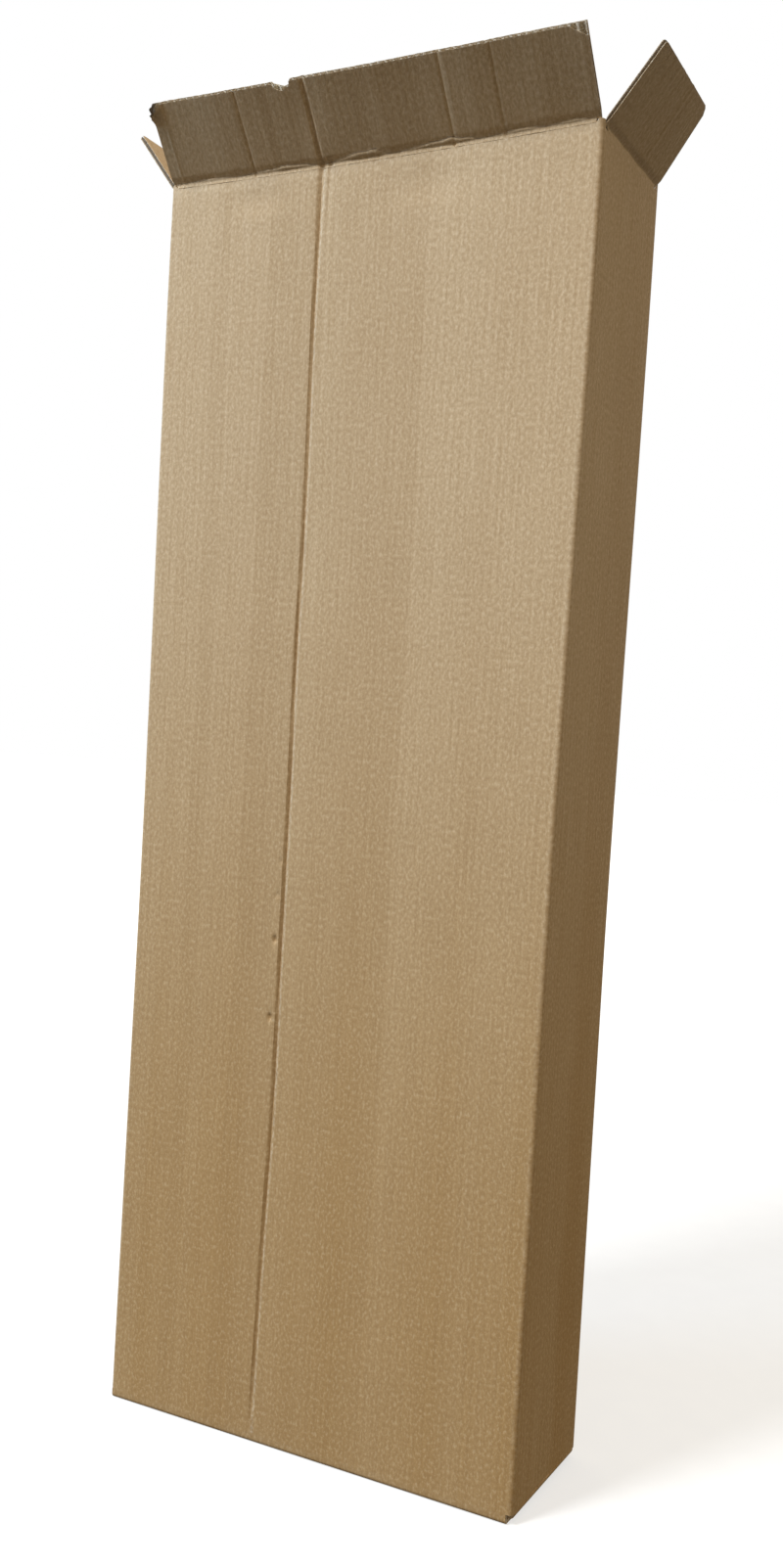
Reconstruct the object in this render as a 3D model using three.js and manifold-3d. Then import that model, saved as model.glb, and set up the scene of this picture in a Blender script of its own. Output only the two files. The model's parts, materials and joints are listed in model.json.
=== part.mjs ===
// Tall corrugated shipping carton that stands upright with its four top flaps folded open.
// Millimetres, +Z up, origin on the floor under the middle of the carton.
// The front is the wide wall towards -Y and the right side is the narrow wall towards +X.

import * as THREE from 'three';
import { mergeVertices } from 'three/addons/utils/BufferGeometryUtils.js';
import Module from 'manifold-3d';

const wasm = await Module();
wasm.setup();

// Carton sizes
const cartonWidth = 450;
const cartonDepth = 156;
const cartonHeight = 1225;

// Board: two liners with a wavy medium between them
const boardThickness = 4;
const linerThickness = 0.5;
const mediumThickness = 0.4;
const flutePitch = 7.5;

// Folds and slots
const foldRadius = 5;
const innerFoldRadius = 1;
const slotWidth = 8;
const slotOvercut = 1;
const scoreBead = 0.7;
const scoreCrushLength = 8;
const blindFluteStart = 12;

// Clearances
const layerGap = 0.3;
const hingeGap = 0.25;
const hingeSideGap = 0.15;
const seamGap = 2;

// Glue lap inside the back panel, beside the left wall
const lapWidth = 38;
const rawEdgeSetback = 0.4;
const lapShortening = 6;
const lapBevel = 14;

// How the flaps stand open, measured outwards from upright
const majorFlapLean = 39;
const minorFlapLean = 37;

// Long vertical crease in the front wall, and how the walls have given way at mid height
const creaseX = -54;
const creaseWidth = 9;
const creaseDepth = 2;
const creasePushIn = 6;
const sideWaist = 3;
const wallSteps = 12;

// Damage on the free edge of the front flap, x along the hinge and depths down from the edge
const notchX = -75;
const notchWidth = 19;
const notchDepth = 7;
const crushedCornerWidth = 11;
const crushedCornerDepth = 12;
const tornCornerWidth = 14;
const tornCornerDepth = 9;
const tornLinerDepth = 0.9;

// Derived sizes
const halfBoard = boardThickness / 2;
const hingeDistanceY = cartonDepth / 2 - halfBoard;
const hingeDistanceX = cartonWidth / 2 - halfBoard;
const majorHingeHeight = cartonHeight - halfBoard;
const minorHingeHeight = majorHingeHeight - boardThickness - layerGap;
const majorFlapWidth = cartonWidth - boardThickness - slotWidth;
const minorFlapWidth = cartonDepth - boardThickness - slotWidth;
const majorFlapReach = hingeDistanceY - seamGap / 2;
const minorFlapReach = majorFlapReach + boardThickness + layerGap;
const seatDrop = scoreBead + hingeGap;
const majorSeatHeight = majorHingeHeight - seatDrop;
const minorSeatHeight = minorHingeHeight - seatDrop;
const topSlotEnd = minorSeatHeight - slotOvercut;
const majorBendHeight = foldRadius;
const minorBendHeight = foldRadius + boardThickness + layerGap;
const bottomSlotEnd = minorBendHeight + slotOvercut;
const lapStep = boardThickness + layerGap;
const leftFlapWidth = minorFlapWidth - lapStep;
const leftFlapShift = lapStep / 2;
const overlap = 1;
const quarter = Math.PI / 2;

// Turns a closed three.js geometry into a solid that can be joined and cut
function toSolid(geometry) {
  const bare = geometry.clone();
  bare.deleteAttribute('normal');
  bare.deleteAttribute('uv');
  const merged = mergeVertices(bare, 1e-4);
  return new wasm.Manifold(new wasm.Mesh({
    numProp: 3,
    vertProperties: new Float32Array(merged.attributes.position.array),
    triVerts: new Uint32Array(merged.index.array),
  }));
}

function toGeometry(solid) {
  const mesh = solid.getMesh();
  const geometry = new THREE.BufferGeometry();
  geometry.setAttribute('position', new THREE.BufferAttribute(mesh.vertProperties, mesh.numProp));
  geometry.setIndex(new THREE.BufferAttribute(mesh.triVerts, 1));
  geometry.computeVertexNormals();
  return geometry;
}

function outlineOf(points) {
  return new THREE.Shape(points.map(([a, b]) => new THREE.Vector2(a, b)));
}

// Extrudes outlines drawn in X and Y upwards from one height to another
function upright(shapes, from, to, steps = 1) {
  const geometry = new THREE.ExtrudeGeometry(shapes, {
    depth: to - from,
    steps,
    bevelEnabled: false,
    curveSegments: 4,
  });
  return geometry.translate(0, 0, from);
}

// Extrudes an outline drawn in Y and Z along X, centred on X = 0
function lengthwise(shape, length) {
  const geometry = new THREE.ExtrudeGeometry(shape, {
    depth: length,
    bevelEnabled: false,
    curveSegments: 4,
  });
  const axes = new THREE.Matrix4().set(0, 0, 1, -length / 2, 1, 0, 0, 0, 0, 1, 0, 0, 0, 0, 0, 1);
  return geometry.applyMatrix4(axes);
}

// Extrudes an outline drawn in X and Z along Y, between two places on Y
function crosswise(shape, from, to) {
  const geometry = new THREE.ExtrudeGeometry(shape, { depth: to - from, bevelEnabled: false });
  const axes = new THREE.Matrix4().set(1, 0, 0, 0, 0, 0, -1, to, 0, 1, 0, 0, 0, 0, 0, 1);
  return geometry.applyMatrix4(axes);
}

function block(from, to) {
  const size = to.map((value, axis) => value - from[axis]);
  const middle = to.map((value, axis) => (value + from[axis]) / 2);
  return new THREE.BoxGeometry(...size).translate(...middle);
}

// Section of the folded sheet seen from above: from the raw edge of the back panel round the
// right, front and left walls to the glue lap, out along the outer face and back along the inner
function sheetSection() {
  const x = cartonWidth / 2;
  const y = cartonDepth / 2;
  const t = boardThickness;
  const r = foldRadius;
  const ri = innerFoldRadius;
  const rawEdge = -x + r + rawEdgeSetback;
  const fluteMouth = halfBoard - linerThickness;
  const lapFace = y - t - layerGap;
  const lapEnd = -x + t + lapWidth;
  const shape = new THREE.Shape();
  shape.moveTo(rawEdge, y);
  shape.lineTo(x - r, y);
  shape.absarc(x - r, y - r, r, quarter, 0, true);
  shape.absarc(x - r, -y + r, r, 0, -quarter, true);
  shape.lineTo(creaseX + creaseWidth / 2, -y);
  shape.lineTo(creaseX, -y + creaseDepth);
  shape.lineTo(creaseX - creaseWidth / 2, -y);
  shape.absarc(-x + r, -y + r, r, -quarter, -2 * quarter, true);
  shape.absarc(-x + r, lapFace - r, r, 2 * quarter, quarter, true);
  shape.lineTo(lapEnd, lapFace);
  shape.lineTo(lapEnd, lapFace - t);
  shape.absarc(-x + t + ri, lapFace - t - ri, ri, quarter, 2 * quarter, false);
  shape.absarc(-x + t + ri, -y + t + ri, ri, 2 * quarter, 3 * quarter, false);
  shape.lineTo(creaseX - creaseWidth / 2, -y + t);
  shape.lineTo(creaseX, -y + t + creaseDepth);
  shape.lineTo(creaseX + creaseWidth / 2, -y + t);
  shape.absarc(x - t - ri, -y + t + ri, ri, -quarter, 0, false);
  shape.absarc(x - t - ri, y - t - ri, ri, 0, quarter, false);
  shape.lineTo(rawEdge, y - t);
  shape.lineTo(rawEdge, y - t + linerThickness);
  shape.lineTo(rawEdge + fluteMouth, y - halfBoard);
  shape.lineTo(rawEdge, y - linerThickness);
  return shape;
}

// How far the walls have given way: nothing near the ends, most at mid height
function slack(height) {
  const stepHeight = (majorSeatHeight - bottomSlotEnd) / wallSteps;
  const low = bottomSlotEnd + stepHeight;
  const high = majorSeatHeight - stepHeight;
  const share = THREE.MathUtils.clamp((height - low) / (high - low), 0, 1);
  return (1 - Math.cos(share * 2 * Math.PI)) / 2;
}

// The front wall is pushed in along its crease, and the side walls lean in a little
function giveWay(geometry) {
  const place = geometry.attributes.position;
  const halfWidth = cartonWidth / 2;
  const frontLimit = -cartonDepth / 2 + boardThickness + creaseDepth + overlap;
  for (let i = 0; i < place.count; i += 1) {
    const x = place.getX(i);
    const amount = slack(place.getZ(i));
    if (place.getY(i) < frontLimit) {
      const fromCorner = x < creaseX ? (x + halfWidth) / (creaseX + halfWidth)
        : (halfWidth - x) / (halfWidth - creaseX);
      place.setY(i, place.getY(i) + creasePushIn * amount * Math.max(fromCorner, 0));
    }
    place.setX(i, x - sideWaist * amount * x / halfWidth);
  }
  return geometry;
}

// A bottom flap with the bend that joins it to its wall, drawn for a wall towards -Y
function bottomFlap(wallDistance, width, reach, bendHeight, turn, shift = 0) {
  const t = boardThickness;
  const r = foldRadius;
  const outer = -wallDistance;
  const top = bottomSlotEnd + overlap;
  const end = -wallDistance + halfBoard + reach;
  const floor = bendHeight - r;
  const shape = new THREE.Shape();
  shape.moveTo(outer, top);
  shape.absarc(outer + r, bendHeight, r, Math.PI, 1.5 * Math.PI, false);
  shape.lineTo(end, floor);
  shape.lineTo(end, floor + t);
  shape.absarc(outer + r, bendHeight, r - t, 1.5 * Math.PI, Math.PI, true);
  shape.lineTo(outer + t, top);
  return toSolid(lengthwise(shape, width).translate(shift, 0, 0).rotateZ(turn));
}

// What crushing the score takes off both faces of a wall along its hinge line: the outer face
// falls back to the middle of the board, so that the flap can fold right down outside
function scoreKnives(wallDistance, width, seatHeight, turn, shift = 0) {
  const middle = -wallDistance + halfBoard;
  const low = seatHeight - scoreCrushLength;
  const high = seatHeight + overlap;
  const knives = [[-1, -hingeSideGap], [1, scoreBead]].map(([side, left]) => {
    const face = middle + side * halfBoard;
    const nose = middle + left;
    const clear = face + side * (creaseDepth + overlap);
    const points = [[face, low], [nose, seatHeight], [nose, high], [clear, high], [clear, low]];
    return toSolid(lengthwise(outlineOf(points), width).translate(shift, 0, 0).rotateZ(turn));
  });
  return knives[0].add(knives[1]);
}

// Space above the slots in the four corners, and above the narrow walls
function topTrim() {
  const x = cartonWidth / 2 + overlap;
  const y = cartonDepth / 2 + overlap;
  const top = cartonHeight + overlap;
  let trim = null;
  for (const side of [-1, 1]) {
    const span = [side * majorFlapWidth / 2, side * x].sort((a, b) => a - b);
    const minorEdge = minorFlapWidth / 2;
    const pieces = [
      block([span[0], -minorEdge, minorSeatHeight], [span[1], minorEdge, top]),
      block([span[0], -y, topSlotEnd], [span[1], -minorEdge, top]),
      block([span[0], minorEdge, topSlotEnd], [span[1], y, top]),
    ];
    for (const piece of pieces) {
      trim = trim ? trim.add(toSolid(piece)) : toSolid(piece);
    }
  }
  return trim;
}

// The glue lap stops short of both scores, with bevelled ends
function lapTrim() {
  const start = -cartonWidth / 2 + foldRadius + overlap;
  const end = -cartonWidth / 2 + boardThickness + lapWidth + overlap;
  const inside = cartonDepth / 2 - 2 * boardThickness - layerGap - overlap;
  const outside = cartonDepth / 2 - boardThickness - layerGap / 2;
  const high = topSlotEnd - lapShortening;
  const low = bottomSlotEnd + lapShortening;
  const top = outlineOf([[start, high], [end, high - lapBevel], [end, cartonHeight], [start, cartonHeight]]);
  const bottom = outlineOf([[start, 0], [end, 0], [end, low + lapBevel], [start, low]]);
  return toSolid(crosswise(top, inside, outside)).add(toSolid(crosswise(bottom, inside, outside)));
}

// The folded sheet without its top flaps: four walls, glue lap and closed bottom
function cartonBody() {
  const frontDistance = cartonDepth / 2;
  const sideDistance = cartonWidth / 2;
  let body = toSolid(giveWay(upright(sheetSection(), bottomSlotEnd, majorSeatHeight, wallSteps)));
  body = body.subtract(lapTrim()).subtract(topTrim());
  for (const turn of [0, 2 * quarter]) {
    body = body.add(bottomFlap(frontDistance, majorFlapWidth, majorFlapReach, majorBendHeight, turn));
    body = body.subtract(scoreKnives(frontDistance, majorFlapWidth, majorSeatHeight, turn));
  }
  for (const [turn, width, shift] of [[quarter, minorFlapWidth, 0], [-quarter, leftFlapWidth, leftFlapShift]]) {
    body = body.add(bottomFlap(sideDistance, width, minorFlapReach, minorBendHeight, turn, shift));
    body = body.subtract(scoreKnives(sideDistance, width, minorSeatHeight, turn, shift));
  }
  return body;
}

// Outline of one tunnel between the wavy medium and the liner on the given side
function tunnelOutline(centre, side) {
  const swing = halfBoard - linerThickness - mediumThickness / 2;
  const points = [];
  for (const share of [-0.32, -0.14, 0.14, 0.32]) {
    const wave = swing * Math.cos(share * 2 * Math.PI);
    points.push([centre + share * flutePitch, side * (mediumThickness / 2 - wave)]);
  }
  points.push([centre + 0.38 * flutePitch, side * (halfBoard - linerThickness)]);
  points.push([centre - 0.38 * flutePitch, side * (halfBoard - linerThickness)]);
  return outlineOf(points);
}

// All the flute tunnels of a flap, open at its free edge and blind at its crushed score
function fluteTunnels(width, reach, solidFrom, solidTo) {
  const outlines = [];
  const count = Math.floor(width / flutePitch);
  for (let i = 0; i <= 2 * count; i += 1) {
    const centre = (i / 2 - count / 2) * flutePitch;
    const nearCrease = centre > solidFrom - flutePitch / 2 && centre < solidTo + flutePitch / 2;
    if (!nearCrease && Math.abs(centre) <= width / 2 + flutePitch / 4) {
      outlines.push(tunnelOutline(centre, i % 2 === 0 ? 1 : -1));
    }
  }
  return toSolid(upright(outlines, blindFluteStart, reach + overlap));
}

// A flap standing on its hinge line: X along the hinge, outer face towards -Y, free edge up.
// At the crushed score only a bead is left, on the inner side of the middle of the board
function flapSheet(width, reach, solidFrom = 0, solidTo = 0) {
  const beadRadius = scoreBead / 2;
  const profile = new THREE.Shape();
  profile.moveTo(halfBoard, scoreCrushLength);
  profile.lineTo(halfBoard, reach);
  profile.lineTo(-halfBoard, reach);
  profile.lineTo(-halfBoard, scoreCrushLength);
  profile.lineTo(0, 0);
  profile.absarc(beadRadius, 0, beadRadius, 2 * quarter, 4 * quarter, false);
  profile.lineTo(halfBoard, scoreCrushLength);
  return toSolid(lengthwise(profile, width)).subtract(fluteTunnels(width, reach, solidFrom, solidTo));
}

// The crease of the front wall runs on over the flap as a groove outside and a ridge inside
function creaseGroove(reach) {
  const half = creaseWidth / 2;
  const face = -halfBoard;
  const groove = outlineOf([
    [creaseX - half, face], [creaseX, face + creaseDepth - linerThickness], [creaseX + half, face],
    [creaseX + half, face - overlap], [creaseX - half, face - overlap],
  ]);
  return toSolid(upright(groove, -overlap, reach + overlap));
}

function creaseRidge(reach) {
  const half = creaseWidth / 2;
  const ridge = outlineOf([
    [creaseX - half, halfBoard - linerThickness / 2], [creaseX + half, halfBoard - linerThickness / 2],
    [creaseX + half, halfBoard], [creaseX, halfBoard + linerThickness], [creaseX - half, halfBoard],
  ]);
  return toSolid(upright(ridge, blindFluteStart, reach));
}

// A torn notch in the free edge, with more of the outer liner gone than of the rest
function edgeNotch(reach) {
  const left = notchX - notchWidth / 2;
  const right = notchX + notchWidth / 2;
  const deepest = right - notchWidth / 3;
  const above = reach + overlap;
  const through = outlineOf([
    [left, above], [left, reach - notchDepth / 8], [deepest, reach - notchDepth],
    [right - overlap, reach - 0.8 * notchDepth], [right, above],
  ]);
  const liner = outlineOf([
    [left - 2 * overlap, above], [left, reach - notchDepth / 2], [deepest, reach - 1.4 * notchDepth],
    [deepest + overlap, reach - notchDepth], [right, above],
  ]);
  const outerFace = -halfBoard - overlap;
  const cut = toSolid(crosswise(through, outerFace, halfBoard + overlap));
  return cut.add(toSolid(crosswise(liner, outerFace, -halfBoard + tornLinerDepth)));
}

// The left corner is crushed: each layer of the board ends a little further out
function crushedCorner(width, reach) {
  const corner = -width / 2 - overlap;
  const above = reach + overlap;
  const layers = [
    [1, -halfBoard + linerThickness],
    [0.75, halfBoard - linerThickness],
    [0.4, halfBoard + overlap],
  ];
  let cut = null;
  for (const [share, depth] of layers) {
    const inward = corner + overlap + share * crushedCornerWidth;
    const down = reach - share * crushedCornerDepth;
    const outline = outlineOf([
      [inward, above], [inward - 0.2 * crushedCornerWidth, (reach + down) / 2],
      [corner, down], [corner, above],
    ]);
    const layer = toSolid(crosswise(outline, -halfBoard - overlap, depth));
    cut = cut ? cut.add(layer) : layer;
  }
  return cut;
}

// The outer liner is torn off the right corner and bares the flutes
function tornCorner(width, reach) {
  const corner = width / 2 + overlap;
  const above = reach + overlap;
  const outline = outlineOf([
    [corner - overlap - tornCornerWidth, above], [corner - overlap - tornCornerWidth, reach - overlap],
    [corner - tornCornerWidth / 2, reach - tornCornerDepth / 2],
    [corner, reach - tornCornerDepth], [corner, above],
  ]);
  return toSolid(crosswise(outline, -halfBoard - overlap, -halfBoard + tornLinerDepth));
}

function frontFlap() {
  const width = majorFlapWidth;
  const reach = majorFlapReach;
  const half = creaseWidth / 2;
  return flapSheet(width, reach, creaseX - half, creaseX + half)
    .subtract(creaseGroove(reach))
    .add(creaseRidge(reach))
    .subtract(edgeNotch(reach))
    .subtract(crushedCorner(width, reach))
    .subtract(tornCorner(width, reach));
}

function kraftBoard(colour) {
  return new THREE.MeshStandardMaterial({ color: colour, roughness: 0.85, metalness: 0 });
}

function namedMesh(name, solid, colour) {
  const mesh = new THREE.Mesh(toGeometry(solid), kraftBoard(colour));
  mesh.name = name;
  return mesh;
}

// Hangs a flap on its wall: the wall is turned about Z, and the flap leans out about its hinge
function hungFlap(name, solid, turn, distance, height, lean, shift = 0) {
  const wall = new THREE.Group();
  wall.rotation.z = turn;
  const flap = namedMesh(name, solid, 0xb08a5c);
  flap.position.set(shift, -distance, height);
  flap.rotation.x = THREE.MathUtils.degToRad(lean);
  wall.add(flap);
  return wall;
}

const majorSheet = flapSheet(majorFlapWidth, majorFlapReach);
const rightSheet = flapSheet(minorFlapWidth, minorFlapReach);
const leftSheet = flapSheet(leftFlapWidth, minorFlapReach);
const major = [hingeDistanceY, majorHingeHeight, majorFlapLean];
const minor = [hingeDistanceX, minorHingeHeight, minorFlapLean];

const group = new THREE.Group();
group.add(namedMesh('carton_body', cartonBody(), 0xb68f60));
group.add(hungFlap('top_flap_front', frontFlap(), 0, ...major));
group.add(hungFlap('top_flap_back', majorSheet, 2 * quarter, ...major));
group.add(hungFlap('top_flap_right', rightSheet, quarter, ...minor));
group.add(hungFlap('top_flap_left', leftSheet, -quarter, ...minor, leftFlapShift));

export default group;
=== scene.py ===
import json
import math
import bpy
import numpy as np
from mathutils import Matrix, Vector, noise


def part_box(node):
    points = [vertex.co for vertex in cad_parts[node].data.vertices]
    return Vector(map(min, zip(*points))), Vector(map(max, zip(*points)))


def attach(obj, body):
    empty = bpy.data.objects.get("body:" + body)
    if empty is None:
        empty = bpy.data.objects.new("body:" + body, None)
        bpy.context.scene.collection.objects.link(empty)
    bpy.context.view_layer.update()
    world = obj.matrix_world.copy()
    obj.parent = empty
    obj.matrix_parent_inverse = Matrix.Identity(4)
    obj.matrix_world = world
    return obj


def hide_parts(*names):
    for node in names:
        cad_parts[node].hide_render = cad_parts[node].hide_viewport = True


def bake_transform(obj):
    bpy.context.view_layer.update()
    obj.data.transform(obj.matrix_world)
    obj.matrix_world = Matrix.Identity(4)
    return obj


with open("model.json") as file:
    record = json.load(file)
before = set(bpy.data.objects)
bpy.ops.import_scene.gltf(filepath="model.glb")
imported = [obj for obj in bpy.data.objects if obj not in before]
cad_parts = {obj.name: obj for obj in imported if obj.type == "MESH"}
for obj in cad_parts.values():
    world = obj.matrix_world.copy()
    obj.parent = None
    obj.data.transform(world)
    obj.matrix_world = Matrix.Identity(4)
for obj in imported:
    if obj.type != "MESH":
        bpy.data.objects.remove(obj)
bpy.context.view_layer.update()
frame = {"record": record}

# Sizes in millimetres, taken from the frame where it holds them
MM = 0.001
body_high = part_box("carton_body")[1]
cad_half_width = body_high.x / MM
half_depth = body_high.y / MM
folds = {joint["name"]: joint for joint in frame["record"]["behaviour"]["joints"]}
major_hinge_height = folds["front_fold"]["pos_m"][2] / MM
minor_hinge_height = folds["right_fold"]["pos_m"][2] / MM
major_hinge_distance = -folds["front_fold"]["pos_m"][1] / MM

board = 4.0
half_board = board / 2
liner = 0.5
medium = 0.4
medium_clearance = 0.02
flute_pitch = 7.5
glue_gap = 0.3
layer_step = board + glue_gap
fold_radius = 4.4
slot_width = 8.0
slot_edge = half_board + slot_width / 2 - fold_radius + 0.4
lap_length = 37.0
lap_slant = 14.0
lap_above_base = 20.0
lap_below_slots = 6.0
raw_edge_setback = 0.4
wall_bottom = fold_radius + layer_step + 1.0

# Where the walls end above, and how their scores are crushed
wall_below_hinge = 4.0
seam_overlap = 0.6
slot_end_height = minor_hinge_height - 3.0
post_height = major_hinge_height - 1.0
crush_length = 8.0
wall_thinning = 0.55
crushed_share = 0.45
bend_start = -1.2
bend_length = 3.4
fold_middle = 0.5

# How the used carton has changed shape
base_half_width = cad_half_width - 4.0
top_half_width = cad_half_width + 2.0
flare_start = 450.0
flare_end = major_hinge_height - 3.0
crease_x = -54.0
crease_push_in = 7.0
wall_groove_depth = 3.0
flap_groove_depth = 2.7
fold_sag = 2.5
wide_lean, right_lean, left_lean = 39.0, 36.0, 38.0
lean_change = 2.5

# Shading turns sharp at edges steeper than this, in degrees
sharp_angle = 38


def smooth(value):
    """An eased step: 0 up to 0, and 1 from 1 on."""
    share = np.clip(value, 0.0, 1.0)
    return share * share * (3 - 2 * share)


def bump(value, centre, half_length):
    """A round swelling: 1 at the centre and 0 from half_length away."""
    share = np.clip(np.abs(value - centre) / half_length, 0.0, 1.0)
    return (1 - share * share) ** 2


def rough(points, scale, seed):
    """Smooth noise from -1 to 1 at rows of (a, b) points."""
    values = [noise.noise(Vector((a / scale, b / scale, seed))) for a, b in points]
    return np.array(values)


def uneven(x, scale, row, seed):
    """Smooth noise from -1 to 1 at one place along a flap."""
    return noise.noise(Vector((x / scale, row, seed)))


def half_width_at(height):
    """Half the carton's width, which flares towards the top."""
    share = smooth((height - flare_start) / (flare_end - flare_start))
    return base_half_width + (top_half_width - base_half_width) * share


def add_mesh(name, vertices, faces, sheet, wear_and_painted_light, material):
    """A mesh from millimetre points, with the board's own coordinates and its wear and painted light and
    shade on its points.
    """
    mesh = bpy.data.meshes.new(name)
    places = np.asarray(vertices) * MM
    corners = places[np.asarray(faces)]
    volume = np.einsum("ij,ij->", corners[:, 0], np.cross(corners[:, 1], corners[:, 2]))
    volume += np.einsum("ij,ij->", corners[:, 0], np.cross(corners[:, 2], corners[:, 3]))
    if volume < 0:
        faces = [tuple(reversed(face)) for face in faces]
    mesh.from_pydata(places.tolist(), [], faces)
    coordinates = mesh.attributes.new("sheet", "FLOAT_VECTOR", "POINT")
    coordinates.data.foreach_set("vector", np.asarray(sheet, dtype=np.float32).ravel())
    wear_and_light_attribute = mesh.attributes.new("wear_and_painted_light", "FLOAT", "POINT")
    wear_and_light_attribute.data.foreach_set("value", np.asarray(wear_and_painted_light, dtype=np.float32))
    mesh.update()
    mesh.shade_smooth()
    mesh.set_sharp_from_angle(angle=math.radians(sharp_angle))
    mesh.materials.append(material)
    piece = bpy.data.objects.new(name, mesh)
    bpy.context.collection.objects.link(piece)
    return piece


def shell_faces(columns, rows, first=0):
    """Faces of a closed board whose outer grid of points is followed by its inner one."""
    count = columns * rows
    faces = []
    for c in range(columns - 1):
        for r in range(rows - 1):
            a = first + c * rows + r
            b = a + rows
            i, j = a + count, b + count
            faces.append((a, a + 1, b + 1, b))
            faces.append((i, j, j + 1, i + 1))
    for c in range(columns - 1):
        for r, flip in ((0, False), (rows - 1, True)):
            a = first + c * rows + r
            b = a + rows
            i, j = a + count, b + count
            faces.append((a, i, j, b) if flip else (a, b, j, i))
    for r in range(rows - 1):
        for c, flip in ((0, False), (columns - 1, True)):
            a = first + c * rows + r
            i = a + count
            faces.append((a, a + 1, i + 1, i) if flip else (a, i, i + 1, a + 1))
    return faces


def make_camera():
    """Camera at the photograph's viewing angle, from values fitted to the carton's corners."""
    azimuth, elevation, roll = (math.radians(value) for value in (27.69, 1.28, 3.36))
    distance, shift_right, shift_up = 1414.9, 17.0, 26.8
    photo_height = 1602.0
    focal_pixels = 1470.0
    back = Vector((
        math.sin(azimuth) * math.cos(elevation),
        -math.cos(azimuth) * math.cos(elevation),
        math.sin(elevation),
    ))
    right = Vector((math.cos(azimuth), math.sin(azimuth), 0.0))
    up = back.cross(right)
    across = math.cos(roll) * right + math.sin(roll) * up
    upward = math.cos(roll) * up - math.sin(roll) * right
    middle = Vector((0.0, 0.0, (major_hinge_height + half_board) / 2))
    place = middle + shift_right * right + Vector((0.0, 0.0, shift_up)) + back * distance
    data = bpy.data.cameras.new("view")
    data.sensor_width = 36.0
    data.lens = data.sensor_width * focal_pixels / photo_height
    camera = bpy.data.objects.new("view", data)
    bpy.context.collection.objects.link(camera)
    turn = Matrix((across, upward, back)).transposed().to_4x4()
    camera.matrix_world = Matrix.Translation(place * MM) @ turn
    bpy.context.scene.camera = camera


class Shader:
    """Adds nodes to one material and joins their sockets."""

    def __init__(self, name):
        self.material = bpy.data.materials.new(name)
        self.material.use_nodes = True
        self.tree = self.material.node_tree
        self.tree.nodes.clear()

    def add(self, kind, inputs=(), **settings):
        node = self.tree.nodes.new(kind)
        for key, value in settings.items():
            setattr(node, key, value)
        for key, value in dict(inputs).items():
            socket = node.inputs[key]
            if isinstance(value, bpy.types.NodeSocket):
                self.tree.links.new(value, socket)
            else:
                socket.default_value = value
        return node

    def math(self, operation, a, b=0.0, clamp=False):
        node = self.add("ShaderNodeMath", {0: a, 1: b}, operation=operation, use_clamp=clamp)
        return node.outputs[0]

    def span(self, value, low, high, to_low=0.0, to_high=1.0):
        inputs = {"Value": value, 1: low, 2: high, 3: to_low, 4: to_high}
        node = self.add("ShaderNodeMapRange", inputs, interpolation_type="SMOOTHSTEP")
        return node.outputs[0]

    def mix(self, share, a, b):
        inputs = {0: share, 6: a, 7: b}
        return self.add("ShaderNodeMix", inputs, data_type="RGBA").outputs[2]

    def noise(self, vector, scale, detail=2.0, roughness=0.5):
        inputs = {"Vector": vector, "Scale": scale, "Detail": detail, "Roughness": roughness}
        return self.add("ShaderNodeTexNoise", inputs).outputs[0]

    def stretched(self, vector, across, along):
        inputs = {0: vector, 1: (across, along, 1.0)}
        return self.add("ShaderNodeVectorMath", inputs, operation="MULTIPLY").outputs[0]


def colour(red, green, blue):
    """A colour written as it looks on screen, 0 to 255, as linear light."""
    linear = [((value / 255 + 0.055) / 1.055) ** 2.4 for value in (red, green, blue)]
    return (*linear, 1.0)


# Bands of painted shade on the front wall, where the bent, washboarded board turns from the light: from x,
# to x and strength
shaded_bands = ((-105.0, crease_x, 0.2), (crease_x, 61.0, 0.16), (-165.0, -150.0, 0.12))


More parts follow.
